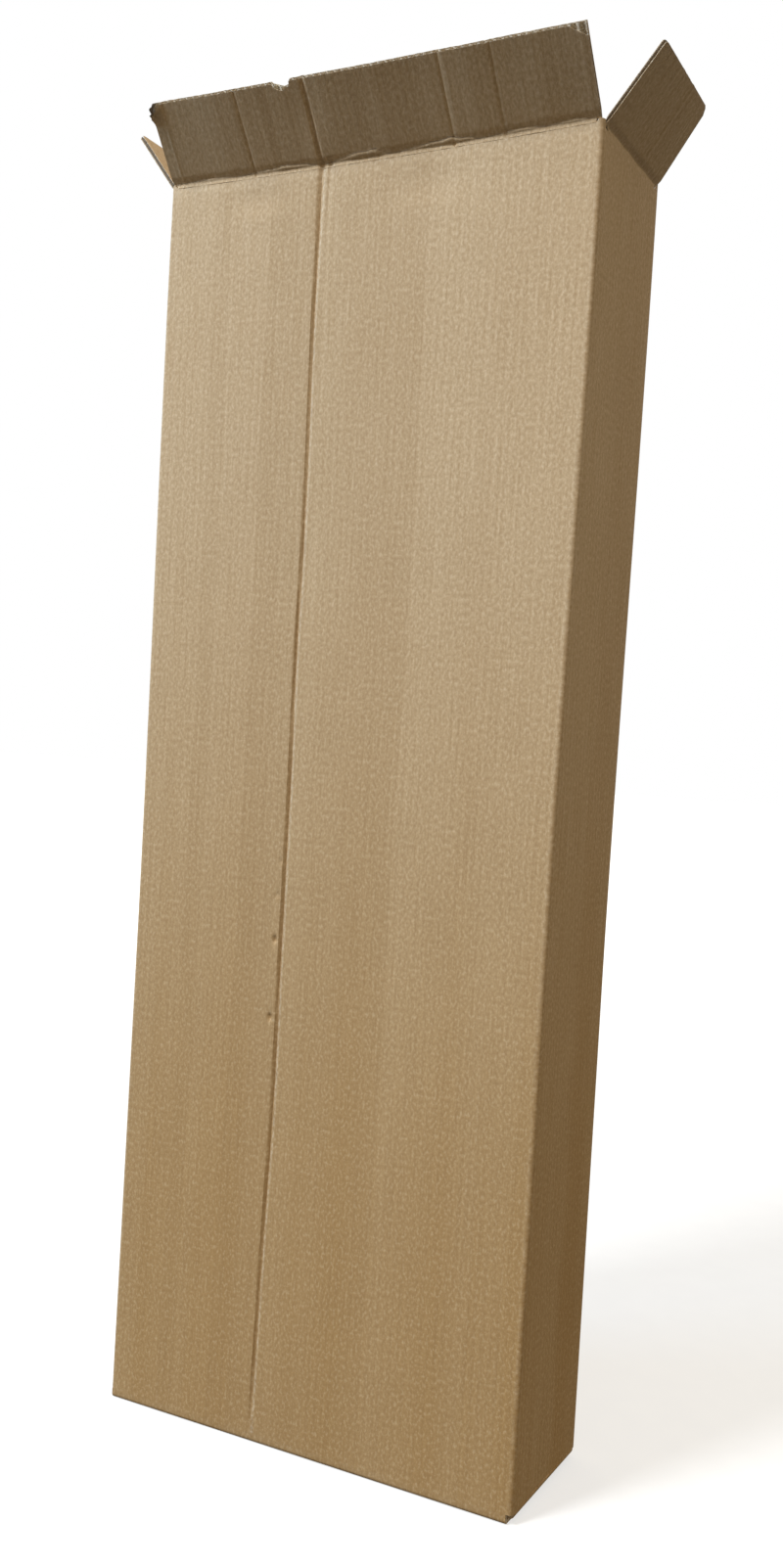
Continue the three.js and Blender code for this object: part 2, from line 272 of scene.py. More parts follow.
def kraft_material():
    """Brown kraft board: flute lines, fibres, soft streaks, scuffed folds and raw edges, with painted light
    and shade: lighter towards the top, shaded bands on the front wall, a highlight by the crease and shade
    in the folds and flute channels.
    """
    s = Shader("kraft_board_surface")
    sheet = s.add("ShaderNodeAttribute", attribute_name="sheet").outputs["Vector"]
    wear_and_painted_light = s.add("ShaderNodeAttribute", attribute_name="wear_and_painted_light").outputs["Fac"]
    parts = s.add("ShaderNodeSeparateXYZ", {0: sheet}).outputs
    across, along, side = parts[0], parts[1], parts[2]

    wobble = s.noise(s.stretched(sheet, 30.0, 3.0), 1.0, 1.0)
    even_phase = s.math("MULTIPLY", across, 2 * math.pi / (flute_pitch * MM))
    flutes = s.math("SINE", s.math("ADD", even_phase, s.math("MULTIPLY", wobble, 3.0)))
    flute_strength = s.noise(s.stretched(sheet, 90.0, 4.0), 1.0, 2.0)
    flutes = s.math("MULTIPLY", flutes, s.span(flute_strength, 0.3, 0.7, 0.35, 1.0))
    streaks = s.noise(s.stretched(sheet, 420.0, 9.0), 1.0, 3.0, 0.6)
    bands = s.noise(s.stretched(sheet, 16.0, 0.25), 1.0, 2.0)
    clouds = s.noise(s.stretched(sheet, 5.0, 3.2), 1.0, 3.0)
    fibres = s.noise(s.stretched(sheet, 1500.0, 900.0), 1.0, 4.0, 0.7)
    specks = s.noise(s.stretched(sheet, 520.0, 420.0), 1.0, 1.0)
    mottle = s.noise(s.stretched(sheet, 420.0, 240.0), 1.0, 3.0, 0.65)

    # Paper tones, from the large to the small
    # Painted light and shade: the paper is lighter towards the top, where more light falls, and darker
    # towards the bottom
    shaded_low_tone = colour(180, 146, 96)
    lit_high_tone = colour(205, 179, 142)
    base = s.mix(s.span(along, 0.15, 1.0), shaded_low_tone, lit_high_tone)
    base = s.mix(s.span(bands, 0.3, 0.7, 0.0, 0.2), base, colour(222, 199, 162))
    base = s.mix(s.span(clouds, 0.45, 0.75, 0.0, 0.08), base, colour(160, 124, 80))
    ragged = s.math("ADD", across, s.math("MULTIPLY", wobble, 0.004))
    # Painted shade: the front wall is darkened in these bands
    for x_from, x_to, strength in shaded_bands:
        left, right = (strip_position("front", x) * MM for x in (x_from, x_to))
        after_right = s.span(ragged, right - 0.001, right + 0.001)
        before_left = s.span(ragged, left + 0.004, left)
        inside = s.math("MULTIPLY", after_right, before_left)
        base = s.mix(s.math("MULTIPLY", inside, strength), base, colour(168, 138, 96))
    base = s.mix(s.span(streaks, 0.35, 0.75, 0.0, 0.16), base, colour(150, 116, 76))
    base = s.mix(s.span(mottle, 0.35, 0.7, 0.0, 0.38), base, colour(146, 112, 72))
    base = s.mix(s.span(mottle, 0.5, 0.3, 0.0, 0.26), base, colour(232, 212, 180))
    base = s.mix(s.span(flutes, -1.0, 1.0, 0.0, 0.09), base, colour(140, 108, 70))
    base = s.mix(s.span(fibres, 0.45, 0.8, 0.0, 0.25), base, colour(132, 101, 66))
    base = s.mix(s.span(specks, 0.76, 0.8, 0.0, 0.4), base, colour(92, 66, 42))

    # Scuffs and grime where the wear is above 0; beside the front wall's crease the pale scuffs are partly
    # a painted highlight
    scuff_grain = s.noise(s.stretched(sheet, 340.0, 180.0), 1.0, 4.0, 0.7)
    worn = s.span(wear_and_painted_light, 0.0, 1.0)
    scuffs_and_highlight = s.math("MULTIPLY", worn, s.span(scuff_grain, 0.4, 0.62))
    base = s.mix(s.math("MULTIPLY", scuffs_and_highlight, 0.6, True), base, colour(228, 212, 185))
    grime_grain = s.noise(s.stretched(sheet, 60.0, 40.0), 1.0, 3.0)
    grime = s.math("MULTIPLY", worn, s.span(grime_grain, 0.5, 0.7))
    base = s.mix(s.math("MULTIPLY", grime, 0.3, True), base, colour(112, 84, 56))

    # Raw edges between the faces, torn plies where the wear is above 1, and below 0 painted shade in the
    # folds and flute channels and darker plies at the crushed corner
    raw = s.span(s.math("ABSOLUTE", side), 0.92, 0.4)
    core_grain = s.noise(s.stretched(sheet, 900.0, 900.0), 1.0, 2.0)
    core = s.mix(s.span(core_grain, 0.35, 0.65), colour(186, 160, 124), colour(244, 234, 214))
    base = s.mix(raw, base, core)
    torn_grain = s.noise(s.stretched(sheet, 700.0, 400.0), 1.0, 3.0)
    torn = s.math("MULTIPLY", s.span(wear_and_painted_light, 1.2, 1.8), s.span(torn_grain, 0.3, 0.6, 0.4, 1.0))
    base = s.mix(torn, base, colour(236, 224, 200))
    # Painted shade in the folds and flute channels, and the darker plies of the crushed corner
    base = s.mix(s.span(wear_and_painted_light, -0.1, -1.2, 0.0, 0.8), base, colour(78, 58, 40))

    # Fine relief of the paper, in metres
    height = s.math("MULTIPLY", flutes, 0.00006)
    for pattern, depth in ((streaks, 0.0001), (mottle, 0.0003), (fibres, 0.00005), (scuffs_and_highlight, 0.00012)):
        height = s.math("ADD", height, s.math("MULTIPLY", pattern, depth))
    relief = s.add("ShaderNodeBump", {"Height": height, "Distance": 1.0, "Strength": 1.0})
    roughness = s.span(streaks, 0.3, 0.7, 0.72, 0.9)
    inputs = {"Base Color": base, "Roughness": roughness, "Normal": relief.outputs[0]}
    shader = s.add("ShaderNodeBsdfPrincipled", inputs)
    shader.inputs["Specular IOR Level"].default_value = 0.28
    s.add("ShaderNodeOutputMaterial", {0: shader.outputs[0]})
    return s.material


class Wall:
    """One flat panel or fold of the strip that makes the four walls and the glue lap."""

    def __init__(self, name, length, spacing, offset):
        self.name = name
        self.length = length
        self.steps = max(1, round(length / spacing))
        self.offset = offset


def strip_panels():
    """The panels and folds by name, in their order along the strip."""
    arc = math.pi / 2 * (fold_radius - half_board)
    wide = 2 * (base_half_width - fold_radius)
    narrow = 2 * (half_depth - fold_radius)
    back_length = wide - raw_edge_setback
    # Name, length and spacing of the columns of points
    lengths = (
        ("back", back_length, 11.0), ("fold_back_right", arc, 0.8), ("right", narrow, 6.0),
        ("fold_front_right", arc, 0.6), ("front", wide, 4.2), ("fold_front_left", arc, 0.6),
        ("left", narrow - layer_step, 9.0), ("fold_back_left", arc, 0.8),
        ("lap", lap_length, 9.0),
    )
    panels = []
    offset = 0.0
    for name, length, spacing in lengths:
        panels.append(Wall(name, length, spacing, offset))
        offset += length
    return {panel.name: panel for panel in panels}


panels = strip_panels()

# Turns of the four walls about Z, in degrees, from the front wall
wall_turns = {"front": 0.0, "right": 90.0, "back": 180.0, "left": -90.0}


def column_shares(panel):
    """Where the columns of points lie on a panel, from 0 to 1, closer together at a crease."""
    shares = np.linspace(0.0, 1.0, panel.steps + 1)
    if panel.name == "front":
        crease_share = (base_half_width - fold_radius - crease_x) / panel.length
        reach = 12.0
        near = crease_share + np.linspace(-reach, reach, 21) / panel.length
        shares = np.concatenate([shares, near])
    if panel.name in wall_turns:
        edge = slot_edge / panel.length
        step = 0.0008
        shares = np.concatenate([shares, [edge, edge + step, 1 - edge, 1 - edge - step]])
    return np.unique(np.round(shares, 6))


def strip_place(panel, share, height):
    """Middle of the board and its outward direction, in X and Y, along one column of points."""
    hw = half_width_at(height)
    hd = np.full_like(height, half_depth)
    r = fold_radius - half_board
    inset_x, inset_y = hw - fold_radius, hd - fold_radius
    ones, zeros = np.ones_like(height), np.zeros_like(height)
    angles = {
        "fold_back_right": (90, 0, inset_x, inset_y),
        "fold_front_right": (0, -90, inset_x, -inset_y),
        "fold_front_left": (-90, -180, -inset_x, -inset_y),
        "fold_back_left": (180, 90, -inset_x, inset_y - layer_step),
    }
    if panel.name in angles:
        start, end, cx, cy = angles[panel.name]
        angle = math.radians(start + (end - start) * share)
        nx, ny = math.cos(angle) * ones, math.sin(angle) * ones
        return cx + r * nx, cy + r * ny, nx, ny
    if panel.name == "back":
        left = -inset_x + raw_edge_setback
        return left + (inset_x - left) * share, hd - half_board, zeros, ones
    if panel.name == "right":
        return hw - half_board, inset_y * (1 - 2 * share), ones, zeros
    if panel.name == "front":
        return inset_x * (1 - 2 * share), -hd + half_board, zeros, -ones
    if panel.name == "left":
        end = inset_y - layer_step
        return -hw + half_board, -inset_y + (end + inset_y) * share, -ones, zeros
    return -inset_x + panel.length * share, hd - layer_step - half_board, zeros, ones


def crease_line(height):
    """The crease wanders a little as it runs up the front wall."""
    return crease_x + 1.2 * np.sin(height / 170.0) + 0.5 * np.sin(height / 47.0 + 1.0)


def valley(away, half_width):
    """A sharp valley: 1 at its middle line and 0 at its banks."""
    return np.clip(1 - np.abs(away) / half_width, 0.0, 1.0)


def crease_groove(x, height):
    """Depth of the pressed groove, wider at the top, where it forks."""
    away = x - crease_line(height)
    top = smooth((height - 1130.0) / 80.0)
    low = smooth((height - wall_bottom) / 90.0)
    steep_side, gentle_side = 2.0 + 2.0 * top, 4.6 + 1.5 * top
    groove = np.where(away < 0, valley(away, steep_side), valley(away, gentle_side))
    fork = 1.2 * top * valley(away - 9.0, 4.0) + 0.5 * bump(away, 9.0, 8.0)
    depth = (0.4 + 0.6 * low) * wall_groove_depth * groove * smooth((height - wall_bottom) / 14.0)
    return depth + fork * low


# Soft hollows below the front fold: x, height, half length across, half length up and depth
front_hollows = ((60.0, 1190.0, 60.0, 26.0, 1.0), (-120.0, 1196.0, 46.0, 20.0, 1.2))
# Small knocks beside the crease: x, height and depth
front_knocks = ((-60.5, 484.0, 2.4), (-61.0, 409.0, 2.2), (-58.5, 560.0, 0.8), (-60.0, 527.0, 0.9))


def wall_relief(name, along, height):
    """How far a wall's surface stands out from its flat place, in millimetres."""
    points = np.column_stack([along, height])
    fade = smooth((height - wall_bottom) / 60.0) * smooth((slot_end_height + 4 - height) / 30.0)
    soft = 0.7 * rough(points, 140.0, 3.0) + 0.25 * rough(points, 40.0, 7.0)
    relief = soft * fade
    if name == "front":
        from_left = (along + base_half_width) / (crease_x + base_half_width)
        from_right = (base_half_width - along) / (base_half_width - crease_x)
        share = np.where(along < crease_x, from_left, from_right)
        slack = smooth(height / 420.0) * smooth((major_hinge_height - height) / 420.0)
        relief = relief - crease_push_in * slack * np.clip(share, 0, 1) ** 0.9
        relief = relief - crease_groove(along, height)
        for x, z, wide, tall, depth in front_hollows:
            relief = relief - depth * bump(along, x, wide) * bump(height, z, tall)
        for x, z, depth in front_knocks:
            away = np.hypot(along - x, (height - z) * 0.6)
            relief = relief - depth * bump(away, 0.0, 3.4)
    if name == "right":
        bow = bump(along, 0.0, half_depth)
        relief = relief + 1.6 * bow * smooth((height - 900.0) / 300.0) - 0.8 * bow
    return relief


def wall_top(name, share):
    """Where a column of the strip ends at the top: at a flap's score, or lower in a slot."""
    panel = panels[name]
    if name in wall_turns:
        edge = slot_edge / panel.length
        if edge < share < 1 - edge:
            hinge = major_hinge_height if name in ("front", "back") else minor_hinge_height
            return hinge - wall_below_hinge + seam_overlap, True
    if name == "lap":
        return slot_end_height - lap_below_slots - lap_slant * share, False
    return post_height, False


def row_shares():
    """Heights of the rows of points, from 0 to 1, closer together near both ends and the knocks."""
    low_end, high_end = 0.03, 0.955
    middle = np.linspace(low_end, high_end, 96)
    low = np.linspace(0.0, low_end, 6)[:-1]
    high = np.linspace(high_end, 1.0, 16)[1:]
    run = major_hinge_height - wall_below_hinge - wall_bottom
    reach = 5.4
    knocks = [(z - wall_bottom + np.linspace(-reach, reach, 9)) / run for x, z, depth in front_knocks]
    return np.unique(np.concatenate([low, middle, high] + knocks))


def sag_at(x, height):
    """The front fold hangs a little lower in its middle."""
    across = 1 - (np.clip(np.abs(x) / base_half_width, 0, 1)) ** 2
    return fold_sag * across * smooth((height - 1120.0) / 95.0)


def make_walls(material):
    """The four walls, their folds and the glue lap as one closed mesh."""
    rows = row_shares()
    outer, inner, sheet, wear_and_painted_light = [], [], [], []
    for panel in panels.values():
        shares = column_shares(panel)
        if panel.name != "back":
            shares = shares[1:]
        for share in shares:
            top, at_score = wall_top(panel.name, share)
            bottom = wall_bottom + (lap_above_base + lap_slant * share if panel.name == "lap" else 0.0)
            height = bottom + (top - bottom) * rows
            x, y, nx, ny = strip_place(panel, share, height)
            along = y if panel.name in ("right", "left") else x
            relief = wall_relief(panel.name, along, height) if panel.name in wall_turns else 0.0
            thin = wall_thinning * smooth((height - top + crush_length) / crush_length) if at_score else 0.0
            drop = sag_at(x, height) if panel.name == "front" else 0.0
            position = panel.offset + panel.length * share
            for grid, side in ((outer, 1.0), (inner, -1.0)):
                reach = relief + side * (half_board - thin)
                grid.append(np.column_stack([x + nx * reach, y + ny * reach, height - drop]))
            s = np.full_like(height, position * MM)
            sheet.append(np.column_stack([s, height * MM, np.ones_like(height)]))
            wear_and_painted_light.append(wall_wear_and_highlight(panel, share, along, height))
    columns = len(outer)
    vertices = np.concatenate([np.concatenate(outer), np.concatenate(inner)])
    outside = np.concatenate(sheet)
    inside = outside * np.array([1.0, 1.0, -1.0])
    marks = np.concatenate(wear_and_painted_light)
    faces = shell_faces(columns, len(rows))
    all_wear_and_highlight = np.concatenate([marks, marks * 0.3])
    return add_mesh("carton_walls", vertices, faces, np.concatenate([outside, inside]), all_wear_and_highlight, material)


def wall_wear_and_highlight(panel, share, along, height):
    """Scuffing on the folds, along the crease and near the floor and the top; beside the crease it is
    partly a painted highlight.
    """
    if panel.name.startswith("fold"):
        return np.full_like(height, 0.3)
    distance = np.minimum(share, 1 - share) * panel.length
    marks = 0.25 * np.exp(-distance / 3.0) * np.ones_like(height)
    marks = marks + 0.35 * smooth((height - slot_end_height + 12.0) / 12.0)
    marks = marks + 0.12 * smooth((24.0 - height) / 18.0)
    if panel.name == "front":
        # A pale mark on the crease's right slope, which faces the light: partly scuffing, partly a painted
        # highlight
        away = np.abs(along - crease_line(height) - 2.6)
        marks = marks + 0.8 * np.exp(-(away / 2.0) ** 2)
    return np.clip(marks, 0.0, 1.0)


def turned(points, name):
    """Points drawn for the front wall, turned to stand at the named wall."""
    angle = math.radians(wall_turns[name])
    cosine, sine = math.cos(angle), math.sin(angle)
    spin = np.array([[cosine, sine, 0], [-sine, cosine, 0], [0, 0, 1]])
    return np.asarray(points) @ spin


def strip_position(name, x):
    """Place along the strip of a point x to the right of a wall's middle, seen from outside."""
    panel = panels[name]
    middle = panel.offset + panel.length / 2
    return middle - x


def make_bottom_flap(name, width, shift, distance, lift, reach, material):
    """A closed bottom flap with its rounded bend, drawn for the front wall and then turned."""
    bend = np.linspace(0.0, 90.0, 9)
    r = fold_radius - half_board
    path = [(-distance + half_board, wall_bottom, -1.0, 0.0)]
    for angle in np.radians(bend):
        ny, nz = -math.cos(angle), -math.sin(angle)
        path.append((-distance + fold_radius + r * ny, lift + fold_radius + r * nz, ny, nz))
    end = -distance + half_board + reach
    start = -distance + fold_radius
    for share in np.linspace(0.0, 1.0, 10)[1:]:
        path.append((start + (end - start) * share, lift + half_board, 0.0, -1.0))
    lengths = np.cumsum([0.0] + [math.dist(a[:2], b[:2]) for a, b in zip(path, path[1:])])
    xs = np.linspace(-width / 2, width / 2, max(12, round(width / 10))) + shift
    outer, inner, sheet = [], [], []
    for x in xs:
        for (y, z, ny, nz), run in zip(path, lengths):
            outer.append((x, y + ny * half_board, z + nz * half_board))
            inner.append((x, y - ny * half_board, z - nz * half_board))
            sheet.append((strip_position(name, x) * MM, (wall_bottom - run) * MM, 1.0))
    count = len(path)
    vertices = turned(outer + inner, name)
    outside = np.array(sheet)
    inside = outside * np.array([1.0, 1.0, -1.0])
    wear_and_painted_light = np.tile(np.where(lengths < 16.0, 0.2, 0.1), len(xs))
    faces = shell_faces(len(xs), count)
    both = np.concatenate([outside, inside])
    return add_mesh(f"bottom_flap_{name}", vertices, faces, both, np.concatenate([wear_and_painted_light, wear_and_painted_light]), material)


class FlapPath:
    """Middle line of a flap across its fold, from the wall up and out to the free edge."""

    def __init__(self, lean, start, end):
        full_angle = math.radians(lean)
        self.v = np.linspace(start, end, 260)
        self.angle = full_angle * smooth((self.v - bend_start) / bend_length)
        step = np.gradient(self.v)
        y = np.cumsum(-np.sin(self.angle) * step)
        z = np.cumsum(np.cos(self.angle) * step)
        self.y = y - y[-1] - math.sin(full_angle) * self.v[-1]
        self.z = z - z[-1] + math.cos(full_angle) * self.v[-1]

    def at(self, v):
        """Y, Z and the outward direction at a distance v from the hinge."""
        y = np.interp(v, self.v, self.y)
        z = np.interp(v, self.v, self.z)
        angle = np.interp(v, self.v, self.angle)
        return y, z, -np.cos(angle), -np.sin(angle)


# Side of the board, 1 outside and -1 inside, on both faces of each layer of a flap
layer_sides = {"outer": (1.0, 0.0), "medium": (0.0, 0.0), "inner": (0.0, -1.0)}


def layer_faces(layer, x, v):
    """Both faces of a layer, measured from the board's middle, closer together in the fold."""
    scale = crushed_share + (1 - crushed_share) * smooth(np.abs(v - fold_middle) / crush_length)
    if layer == "medium":
        swing = (half_board - liner - medium / 2 - medium_clearance) * np.cos(2 * np.pi * x / flute_pitch)
        return swing * scale + medium / 2, swing * scale - medium / 2
    upper = half_board * scale if layer == "outer" else liner - half_board * scale
    return upper, upper - liner


def flap_wear_and_shade(name, layer, x, v, edge, half_width):
    """Scuffs, bare plies, darker crushed plies and painted shade in the fold and the flute channels along
    one column of points of a flap.
    """
    marks = 0.5 * np.exp(-np.abs(v - fold_middle) / 3.0) + 0.6 * np.exp(-(edge - v) / 2.0)
    marks = np.clip(marks + 0.5 * math.exp(-(half_width - abs(x)) / 2.0), 0, 1)
    # Painted shade: the medium is dark at the flap's ends, inside the open flute channels
    if layer == "medium" and abs(x) > half_width - 5.0:
        marks = np.full_like(v, -1.0)
    if name == "front":
        return marks + torn_wear(layer, x, v) + crushed_corner_darkening(x, v) + fold_painted_shade(layer, x, v)
    # Painted shade: a dark line along the fold of the other flaps
    return marks - np.exp(-((v - 0.6) / 1.1) ** 2)


def flap_columns(width, spots):
    """Places across a flap of its columns of points: finer at the spots, and finest for the flutes."""
    spacing, points_per_flute = 4.0, 8
    coarse = np.linspace(-width / 2, width / 2, round(width / spacing))
    near = [spot + np.arange(-16.0, 16.1, 1.0) for spot in spots]
    fine = np.concatenate([coarse] + near)
    fine = np.unique(np.round(fine[np.abs(fine) <= width / 2], 4))
    flutes = np.linspace(-width / 2, width / 2, round(width / flute_pitch * points_per_flute))
    return {"outer": fine, "medium": flutes, "inner": fine}


def make_flap(name, width, shift, reach, lean_at, edges, relief, spots, material):
    """A top flap with its fold: outer liner, wavy medium and inner liner, each a closed sheet."""
    wide = name in ("front", "back")
    hinge_height = major_hinge_height if wide else minor_hinge_height
    distance = major_hinge_distance if wide else top_half_width - half_board
    end_strip = 4.5
    rows = np.concatenate([np.linspace(0.0, 0.2, 21)[:-1], np.linspace(0.2, 1.0, 24)])
    vertices, faces, sheet, wear_and_painted_light = [], [], [], []
    for layer, xs in flap_columns(width, spots).items():
        first = len(vertices)
        grids, places, marks = ([], []), ([], []), []
        for x in xs:
            low = -wall_below_hinge if abs(x) < width / 2 - end_strip else -0.5
            edge = edges(layer, x)
            v = low + (edge - low) * rows
            y, z, ny, nz = FlapPath(lean_at(x), -wall_below_hinge, reach + 3).at(v)
            out = relief(layer, x, v)
            sideways = np.full_like(v, x + shift)
            if name == "front":
                sideways = sideways - 3.5 * corner_share(x, v)
            for grid, offset in zip(grids, layer_faces(layer, x, v)):
                stand_out = offset + out
                grid.append(np.column_stack([sideways, y + ny * stand_out, z + nz * stand_out]))
            position = np.full_like(v, strip_position(name, x + shift) * MM)
            for place, side in zip(places, layer_sides[layer]):
                place.append(np.column_stack([position, (hinge_height + v) * MM, np.full_like(v, side)]))
            marks.append(flap_wear_and_shade(name, layer, x, v, edge, width / 2))
        for grid, place in zip(grids, places):
            points = np.concatenate(grid) + np.array([0.0, -distance, hinge_height])
            if name == "front":
                hang = 1 - np.clip(np.abs(points[:, 0]) / base_half_width, 0, 1) ** 2
                points[:, 2] -= fold_sag * hang * (1 - 0.5 * smooth((points[:, 2] - hinge_height) / 50.0))
            vertices.extend(points.tolist())
            sheet.extend(np.concatenate(place).tolist())
        wear_and_painted_light.extend(np.concatenate(marks).tolist() * 2)
        faces.extend(shell_faces(len(xs), len(rows), first))
    return add_mesh(f"flap_{name}", turned(vertices, name), faces, sheet, wear_and_painted_light, material)


# Damage of the front flap: the notch in its edge, its crushed left corner and its torn right one
notch_left, notch_right, notch_low = -85.0, -66.0, -72.8
notch_spot = -75.0
notch_depth = 5.5
crushed_width, crushed_depth = 12.0, 12.0
torn_width, torn_depth = 15.0, 10.0


def notch_depth_at(x):
    """How far the notch cuts into the free edge, deepest at its low point."""
    if x <= notch_left or x >= notch_right:
        return 0.0
    if x < notch_low:
        return 1.0 + (notch_depth - 1.0) * (x - notch_left) / (notch_low - notch_left)
    return notch_depth - 1.6 * (x - notch_low) / (notch_right - notch_low)


def corner_share(x, v):
    """1 at the crushed free corner of the front flap, and 0 from a thumb's width away."""
    return max(0.0, 1 - (x + top_half_width - 2.5) / 15.0) * smooth((v - 56.0) / 18.0)


def torn_wear(layer, x, v):
    """Bare pale plies at the notch and at the torn corner, which the outer liner has left."""
    if layer == "outer":
        return np.zeros_like(v)
    at_notch = float(bump(np.array(x), -79.0, 12.0)) * smooth((v - 66.0) / 5.0)
    at_corner = smooth((x - 203.0) / 5.0) * smooth((v - 62.0) / 5.0)
    return 2.0 * np.maximum(at_notch, 0.35 * at_corner)


def crushed_corner_darkening(x, v):
    """Darker plies at the crushed corner, kept below zero so that they differ from scuffs."""
    return -2.2 * corner_share(x, v)


def front_edges(half, reach):
    """Where each layer of the front flap ends above its hinge, at x along the hinge."""
    crushed_by = {"outer": 1.0, "medium": 0.75, "inner": 0.4}

    def edge(layer, x):
        jitter = 0.35 * uneven(x, 5.0, 0.0, 11.0) + 0.5 * uneven(x, 60.0, 4.0, 2.0)
        depth = notch_depth_at(x)
        if layer == "outer":
            wider = 2.6 * bump(np.array(x), -78.0, 10.0)
            depth = depth + float(wider) * (1.0 if depth > 0 else 0.6)
        corner = (x + half) / (crushed_width * crushed_by[layer])
        if corner < 1:
            ragged = 1.6 * uneven(x, 1.7, 3.0, ord(layer[0]))
            depth = max(depth, crushed_depth * crushed_by[layer] * (1 - corner) ** 0.8 + ragged)
        torn = (half - x) / torn_width
        if layer == "outer" and torn < 1:
            ragged = 0.9 * uneven(x, 1.9, 8.0, 1.0)
            depth = max(depth, 1.0 + (torn_depth - 1.0) * (1 - torn) + ragged)
        lift = {"outer": -0.5, "medium": 0.2, "inner": 0.8}[layer]
        return reach - depth + jitter + lift

    return edge


def plain_edges(half, reach, seed, worn_end):
    """The free edge of a whole flap, whose corner at the worn end is rounded."""

    def edge(layer, x):
        jitter = 0.3 * uneven(x, 4.0, seed, 1.0)
        worn = 7.0 if x * worn_end > 0 else 1.5
        rounded = worn * max(0.0, 1 - (half - abs(x)) / (worn + 1.0)) ** 2
        return reach + jitter - rounded

    return edge


# Loose lenses of liner where the front fold is crushed: x, half length, height and bulge
fold_lenses = (
    (-186.0, 34.0, 2.5, 0.5), (-104.0, 52.0, 4.5, 0.8), (-15.0, 39.0, 7.5, 1.0),
    (66.0, 50.0, 6.0, 1.0), (142.0, 34.0, 3.5, 0.6), (190.0, 30.0, 3.0, 0.6),
)
# Faint creases that run up the front flap: x and depth
flap_creases = ((-212.0, -0.5), (-127.0, 0.9), (86.0, 0.9), (136.0, 0.7))
# Ridge that runs up the narrow flaps
ridge_x = 21.0


def lens_fullness(x, centre, half_length):
    """How full a lens is at x, from 0 at its ends: long, flat on top and a little crumpled."""
    share = (x - centre) / half_length
    if abs(share) >= 1:
        return 0.0
    leaning = share - 0.3 * (1 - share * share)
    crumple = 1 + 0.3 * uneven(x, 11.0, centre, 6.0)
    return max(0.0, 1 - abs(leaning) ** 1.7) * crumple * min(1.0, 4 * (1 - abs(share)))


def lens(x, v, centre, half_length, height, swell):
    """A loose roll of liner above the fold, with a crease along its upper side."""
    along = lens_fullness(x, centre, half_length)
    if along <= 0:
        return np.zeros_like(v)
    share = np.clip((v + 1.0) / (height * along + 0.8), 0.0, 1.0)
    return swell * along * (np.sin(np.pi * share) ** 0.8) - 0.8 * along * valley(share - 1.0, 0.3)


def fold_painted_shade(layer, x, v):
    """Painted shade in the front fold and, outside, along the upper creases of its lenses."""
    shade_depth = 0.7 * np.exp(-((v - 0.6) / 1.1) ** 2)
    if layer != "outer":
        return -0.6 * shade_depth
    for centre, half_length, height, swell in fold_lenses:
        along = lens_fullness(x, centre, half_length)
        if along > 0:
            shade_depth = shade_depth + swell * along ** 0.5 * np.exp(-((v + 0.6 - height * along) / 0.7) ** 2)
    return -1.3 * shade_depth


def front_relief(layer, x, v):
    """Groove, buckles and curl of the front flap."""
    share = smooth((v - 1.0) / 6.0)
    flap_groove = flap_groove_depth * float(valley(x - crease_line(major_hinge_height), 3.4))
    out = -flap_groove * share - crease_groove(x, major_hinge_height + v) * (1 - share)
    out = out - 1.2 * bump(np.array(x), crease_x, 24.0) * smooth(v / 60.0)
    for place, depth in flap_creases:
        out = out - depth * float(valley(x - place, 2.4))
    loose = np.zeros_like(v)
    for centre, length, height, swell in fold_lenses:
        loose = loose + lens(x, v, centre, length, height, swell)
    followed = {"outer": 1.0, "medium": 0.5, "inner": 0.2}[layer]
    out = out + np.minimum(loose, followed * loose)
    ripple = 0.4 * uneven(x, 30.0, 1.0, 5.0) + 0.3 * uneven(x, 8.0, 2.0, 5.0)
    out = out + ripple * (0.3 + bump(v, 0.0, 9.0))
    out = out + 1.5 * uneven(x, 90.0, 7.0, 5.0) * smooth(v / 70.0)
    spread = {"outer": 7.0, "medium": 4.5, "inner": 2.5}[layer]
    return out + spread * corner_share(x, v)


def minor_relief(layer, x, v):
    """Ripples at the fold of a narrow flap, and the one ridge that runs up it."""
    ripple = 0.5 * uneven(x, 26.0, 1.0, 9.0)
    ridge = 0.9 * float(valley(x - ridge_x, 3.0))
    return ripple * (0.4 + bump(v, 0.0, 9.0)) + ridge * smooth(v / 20.0)


def back_relief(layer, x, v):
    """Ripples at the fold of the back flap, and its slow bow towards the free edge."""
    ripple = 0.5 * uneven(x, 34.0, 1.0, 15.0)
    bow = 1.2 * uneven(x, 100.0, 3.0, 15.0)
    return ripple * (0.4 + bump(v, 0.0, 9.0)) + bow * smooth(v / 70.0)


